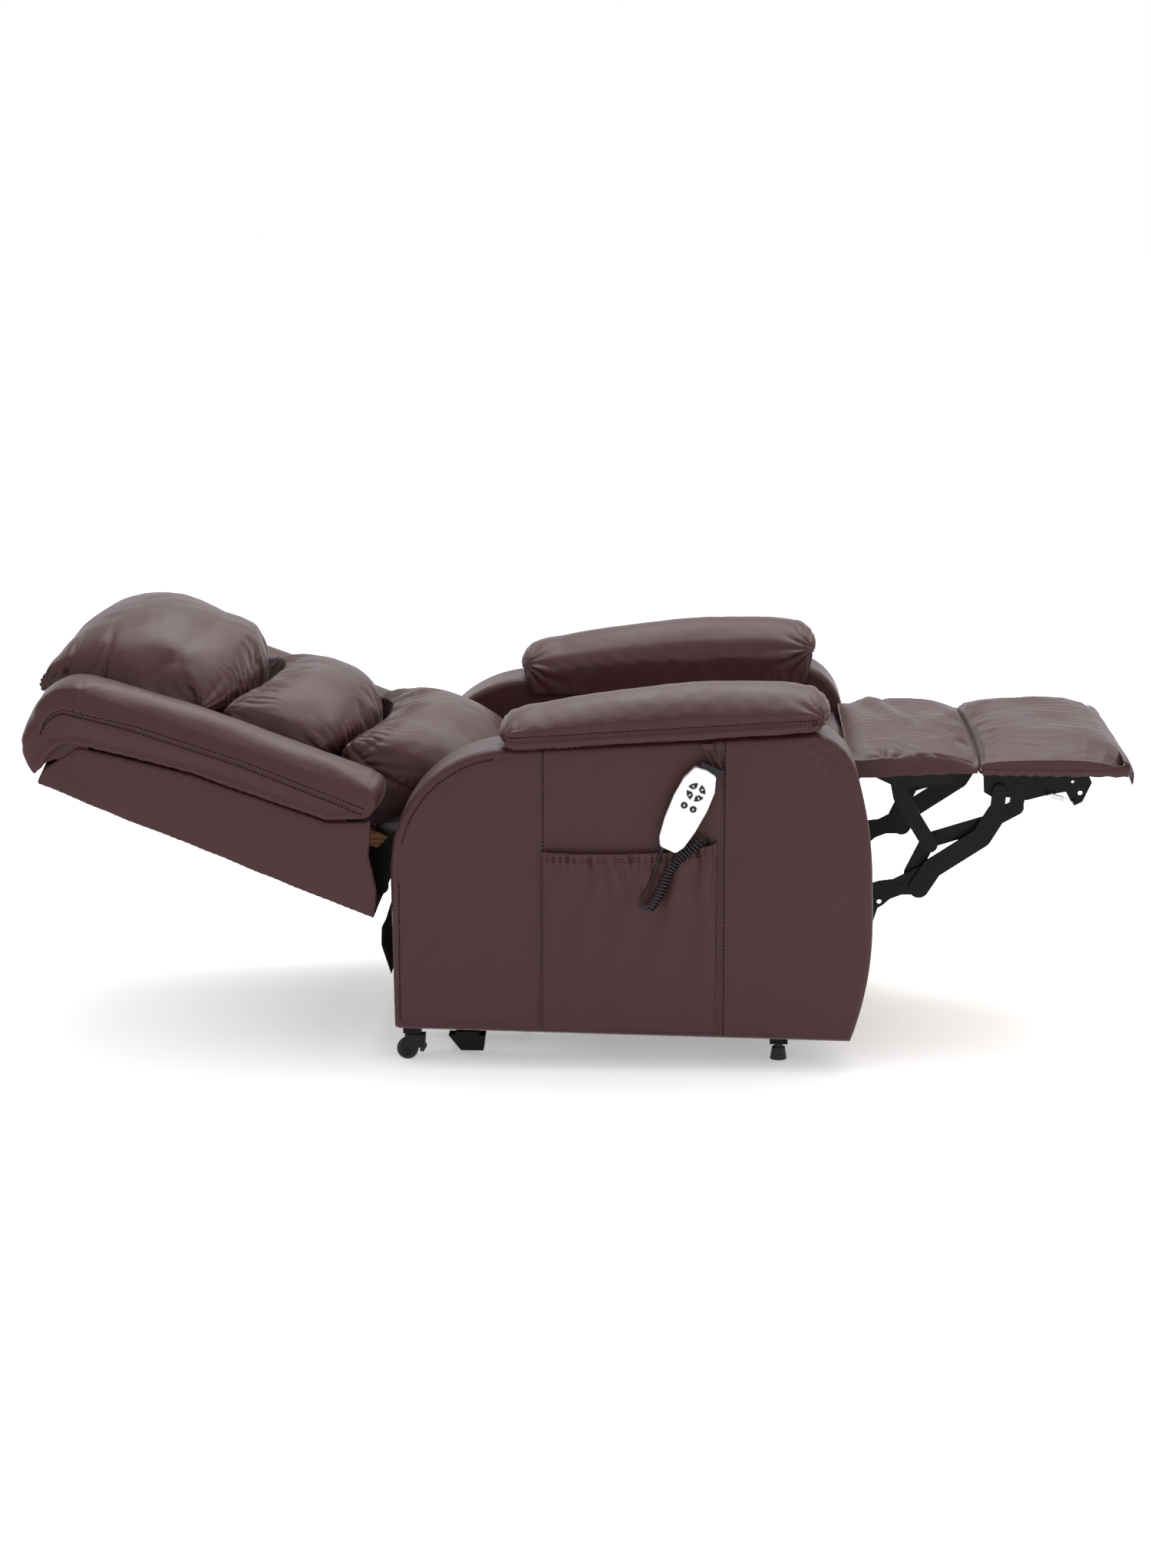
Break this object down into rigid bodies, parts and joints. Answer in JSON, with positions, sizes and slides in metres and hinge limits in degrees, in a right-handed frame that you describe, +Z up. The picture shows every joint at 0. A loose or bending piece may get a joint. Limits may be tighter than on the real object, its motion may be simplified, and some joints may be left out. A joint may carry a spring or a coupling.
{
  "type": "lift recliner chair",
  "caption": "Powered lift recliner with padded back, arms and legrest that fold from bed to seat, a tilting lift base on castors, and a corded handset in a side strap.",
  "frame": {"origin": "On the floor, midway between the head end and the footrest end, and midway between the two arms.", "axes": "+X forward to the footrest, +Y to the sitter's left, +Z up."},
  "size_m": [1.8327, 0.8416, 0.7213],
  "materials": {
    "burgundy_leather": "semi-matte bonded leather, dark burgundy brown",
    "black_steel": "satin black powder coat",
    "castor_steel": "zinc plated",
    "castor_tyre": "matte",
    "brake_plastic": "moulded nylon",
    "spring_steel": "drawn wire",
    "plywood": "unfinished birch plywood",
    "black_plastic": "moulded, lightly grained",
    "rod_steel": "ground bar",
    "white_plastic": "smooth moulded",
    "key_plastic": "smooth moulded",
    "cord_rubber": "smooth cable jacket",
    "lining_cloth": "woven non-slip cloth"
  },
  "bodies": {
    "base": {"base_frame": "black_steel", "front_feet": "black_plastic", "power_supply": "black_plastic"},
    "right_castor": {"right_castor_fork": "castor_steel"},
    "left_castor": {"left_castor_fork": "castor_steel"},
    "right_wheel": {"right_castor_wheel": "castor_tyre"},
    "left_wheel": {"left_castor_wheel": "castor_tyre"},
    "right_brake": {"right_castor_brake": "brake_plastic"},
    "left_brake": {"left_castor_brake": "brake_plastic"},
    "rear_arms": {"rear_lift_arms": "black_steel"},
    "front_arms": {"front_lift_arms": "black_steel"},
    "lift_housing": {"lift_motor": "black_plastic"},
    "lift_slider": {"lift_rod": "rod_steel"},
    "chassis": {"chassis_frame": "black_steel", "control_box": "black_plastic", "seat_deck": "plywood", "seat_springs": "spring_steel", "seat_cushion": "burgundy_leather", "right_arm_frame": "plywood", "left_arm_frame": "plywood", "right_side_panel": "burgundy_leather", "left_side_panel": "burgundy_leather", "right_arm_pad": "burgundy_leather", "left_arm_pad": "burgundy_leather", "side_pocket": "burgundy_leather", "handset_strap": "burgundy_leather", "cord_grommet": "black_plastic", "rear_lining": "lining_cloth", "handset_cord": "cord_rubber"},
    "recline_housing": {"recline_motor": "black_plastic"},
    "recline_slider": {"recline_rod": "rod_steel"},
    "backrest": {"back_frame": "plywood", "back_brackets": "black_steel", "back_shell": "burgundy_leather", "head_cushion": "burgundy_leather", "shoulder_cushion": "burgundy_leather", "lumbar_cushion": "burgundy_leather", "right_back_bolster": "burgundy_leather", "left_back_bolster": "burgundy_leather"},
    "flap": {"flap_board": "plywood", "flap_cushion": "burgundy_leather", "flap_arms": "black_steel"},
    "footrest": {"footrest_board": "plywood", "footrest_cushion": "burgundy_leather", "footrest_brackets": "black_steel", "legrest_springs": "spring_steel"},
    "front_links": {"upper_front_links": "black_steel"},
    "rear_links": {"upper_rear_links": "black_steel"},
    "lower_links": {"lower_links": "black_steel", "torque_tube": "black_steel"},
    "handset": {"handset_front": "white_plastic", "handset_back": "white_plastic", "handset_hook": "key_plastic", "strain_relief": "cord_rubber"},
    "back_up_key": {"back_up_button": "key_plastic"},
    "legs_up_key": {"legs_up_button": "key_plastic"},
    "legs_down_key": {"legs_down_button": "key_plastic"},
    "back_down_key": {"back_down_button": "key_plastic"},
    "rise_key": {"rise_button": "key_plastic"},
    "lower_key": {"lower_button": "key_plastic"}
  },
  "joints": [
    {"name": "lift", "type": "hinge", "parent": "base", "child": "rear_arms", "pos_m": [-0.178, 0, 0.062], "axis": [0, -1, 0], "range_deg": [0, 50]},
    {"name": "seat_tilt", "type": "hinge", "parent": "rear_arms", "child": "chassis", "pos_m": [0.19, 0, 0.112], "axis": [0, 1, 0], "range_deg": [0, 76.01]},
    {"name": "front_lift_links", "type": "hinge", "parent": "base", "child": "front_arms", "pos_m": [0.1568, 0, 0.062], "axis": [0, -1, 0], "range_deg": [0, 57.6]},
    {"name": "lift_motor_swing", "type": "hinge", "parent": "base", "child": "lift_housing", "pos_m": [0, -0.06, 0.058], "axis": [0, -1, 0], "range_deg": [0, 61.12]},
    {"name": "lift_rod_travel", "type": "slide", "parent": "lift_housing", "child": "lift_slider", "axis": [0.9656, 0, 0.2601], "range_m": [0, 0.06007]},
    {"name": "backrest_recline", "type": "hinge", "parent": "chassis", "child": "backrest", "pos_m": [-0.24, 0, 0.42], "axis": [0, 1, 0], "range_deg": [0, 52]},
    {"name": "recline_motor_swing", "type": "hinge", "parent": "chassis", "child": "recline_housing", "pos_m": [0.175, 0.06, 0.165], "axis": [0, 1, 0], "range_deg": [0, 8.41]},
    {"name": "recline_rod_travel", "type": "slide", "parent": "recline_housing", "child": "recline_slider", "axis": [-0.9802, 0, 0.1981], "range_m": [0, 0.12635]},
    {"name": "legrest", "type": "hinge", "parent": "chassis", "child": "flap", "pos_m": [0.479, 0, 0.492], "axis": [0, 1, 0], "range_deg": [0, 94]},
    {"name": "footrest_fold", "type": "hinge", "parent": "flap", "child": "footrest", "pos_m": [0.664, 0, 0.49], "axis": [0, -1, 0], "range_deg": [0, 4.01]},
    {"name": "front_link_fold", "type": "hinge", "parent": "footrest", "child": "front_links", "pos_m": [0.701, 0, 0.45], "axis": [0, -1, 0], "range_deg": [0, 59.39]},
    {"name": "rear_link_fold", "type": "hinge", "parent": "footrest", "child": "rear_links", "pos_m": [0.735, 0, 0.452], "axis": [0, -1, 0], "range_deg": [0, 64.89]},
    {"name": "lower_link_fold", "type": "hinge", "parent": "chassis", "child": "lower_links", "pos_m": [0.438, 0, 0.084], "axis": [0, -1, 0], "range_deg": [0, 96.76]},
    {"name": "right_castor_swivel", "type": "hinge", "parent": "base", "child": "right_castor", "pos_m": [-0.274, -0.323, 0.048], "axis": [0, 0, 1], "continuous": true},
    {"name": "right_wheel_spin", "type": "hinge", "parent": "right_castor", "child": "right_wheel", "pos_m": [-0.286, -0.323, 0.018], "axis": [0, 1, 0], "continuous": true},
    {"name": "right_castor_brake_press", "type": "hinge", "parent": "right_castor", "child": "right_brake", "pos_m": [-0.262, -0.323, 0.03], "axis": [0, 1, 0], "range_deg": [0, 8]},
    {"name": "left_castor_swivel", "type": "hinge", "parent": "base", "child": "left_castor", "pos_m": [-0.274, 0.323, 0.048], "axis": [0, 0, 1], "continuous": true},
    {"name": "left_wheel_spin", "type": "hinge", "parent": "left_castor", "child": "left_wheel", "pos_m": [-0.286, 0.323, 0.018], "axis": [0, 1, 0], "continuous": true},
    {"name": "left_castor_brake_press", "type": "hinge", "parent": "left_castor", "child": "left_brake", "pos_m": [-0.262, 0.323, 0.03], "axis": [0, 1, 0], "range_deg": [0, 8]},
    {"name": "handset_swing", "type": "hinge", "parent": "chassis", "child": "handset", "pos_m": [0.2343, -0.4, 0.51065], "axis": [0, 1, 0], "range_deg": [0, 10]},
    {"name": "back_up_press", "type": "slide", "parent": "handset", "child": "back_up_key", "axis": [0, 1, 0], "range_m": [0, 0.0012], "stiffness_N_per_m": 300, "springref_m": -0.001},
    {"name": "legs_up_press", "type": "slide", "parent": "handset", "child": "legs_up_key", "axis": [0, 1, 0], "range_m": [0, 0.0012], "stiffness_N_per_m": 300, "springref_m": -0.001},
    {"name": "legs_down_press", "type": "slide", "parent": "handset", "child": "legs_down_key", "axis": [0, 1, 0], "range_m": [0, 0.0012], "stiffness_N_per_m": 300, "springref_m": -0.001},
    {"name": "back_down_press", "type": "slide", "parent": "handset", "child": "back_down_key", "axis": [0, 1, 0], "range_m": [0, 0.0012], "stiffness_N_per_m": 300, "springref_m": -0.001},
    {"name": "rise_press", "type": "slide", "parent": "handset", "child": "rise_key", "axis": [0, 1, 0], "range_m": [0, 0.0012], "stiffness_N_per_m": 300, "springref_m": -0.001},
    {"name": "lower_press", "type": "slide", "parent": "handset", "child": "lower_key", "axis": [0, 1, 0], "range_m": [0, 0.0012], "stiffness_N_per_m": 300, "springref_m": -0.001}
  ],
  "couplings": [
    {"joint": "seat_tilt", "follows": "lift", "ratio": 1.52},
    {"joint": "front_lift_links", "follows": "lift", "ratio": 1.1519},
    {"joint": "lift_motor_swing", "follows": "lift", "ratio": 1.2221},
    {"joint": "lift_rod_travel", "follows": "lift", "m_per_rad": 0.068828},
    {"joint": "recline_motor_swing", "follows": "backrest_recline", "ratio": 0.16158},
    {"joint": "recline_rod_travel", "follows": "backrest_recline", "m_per_rad": 0.1392},
    {"joint": "footrest_fold", "follows": "legrest", "ratio": 0.042553},
    {"joint": "front_link_fold", "follows": "legrest", "ratio": 0.6317},
    {"joint": "rear_link_fold", "follows": "legrest", "ratio": 0.69021},
    {"joint": "lower_link_fold", "follows": "legrest", "ratio": 1.0293}
  ]
}
